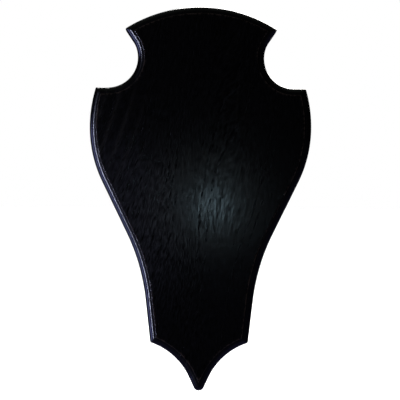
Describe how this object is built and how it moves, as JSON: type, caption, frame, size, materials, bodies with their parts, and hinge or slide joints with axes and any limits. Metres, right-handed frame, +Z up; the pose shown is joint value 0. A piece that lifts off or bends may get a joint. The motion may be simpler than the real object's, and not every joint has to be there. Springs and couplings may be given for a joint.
{
  "type": "trophy mounting shield",
  "caption": "Black oak mounting shield with notched shoulders, a pointed foot and a routed edge, hung by a swinging ring on its back.",
  "frame": {"origin": "on the wall plane that the felt pads rest on, behind the middle of the board, half way up it", "axes": "+Z up, +Y out of the back into the wall, so the front looks along -Y and X is the width"},
  "size_m": [0.1502, 0.0208, 0.2599],
  "materials": {
    "board": "black stain under satin lacquer, open oak pores",
    "hanger": "zinc-plated sheet",
    "ring": "zinc-plated wire",
    "screw": "zinc-plated",
    "pad": "pressed wool felt"
  },
  "bodies": {
    "shield": {"shield_board": "board", "hanger_strap": "hanger", "hanger_screw_upper": "screw", "hanger_screw_lower": "screw", "felt_pad_shoulder_left": "pad", "felt_pad_shoulder_right": "pad", "felt_pad_foot_left": "pad", "felt_pad_foot_right": "pad"},
    "ring": {"hanger_ring": "ring"}
  },
  "joints": [
    {"name": "ring_hinge", "type": "hinge", "parent": "shield", "child": "ring", "pos_m": [0, -0.0026, 0.098], "axis": [1, 0, 0], "range_deg": [0, 180]}
  ]
}
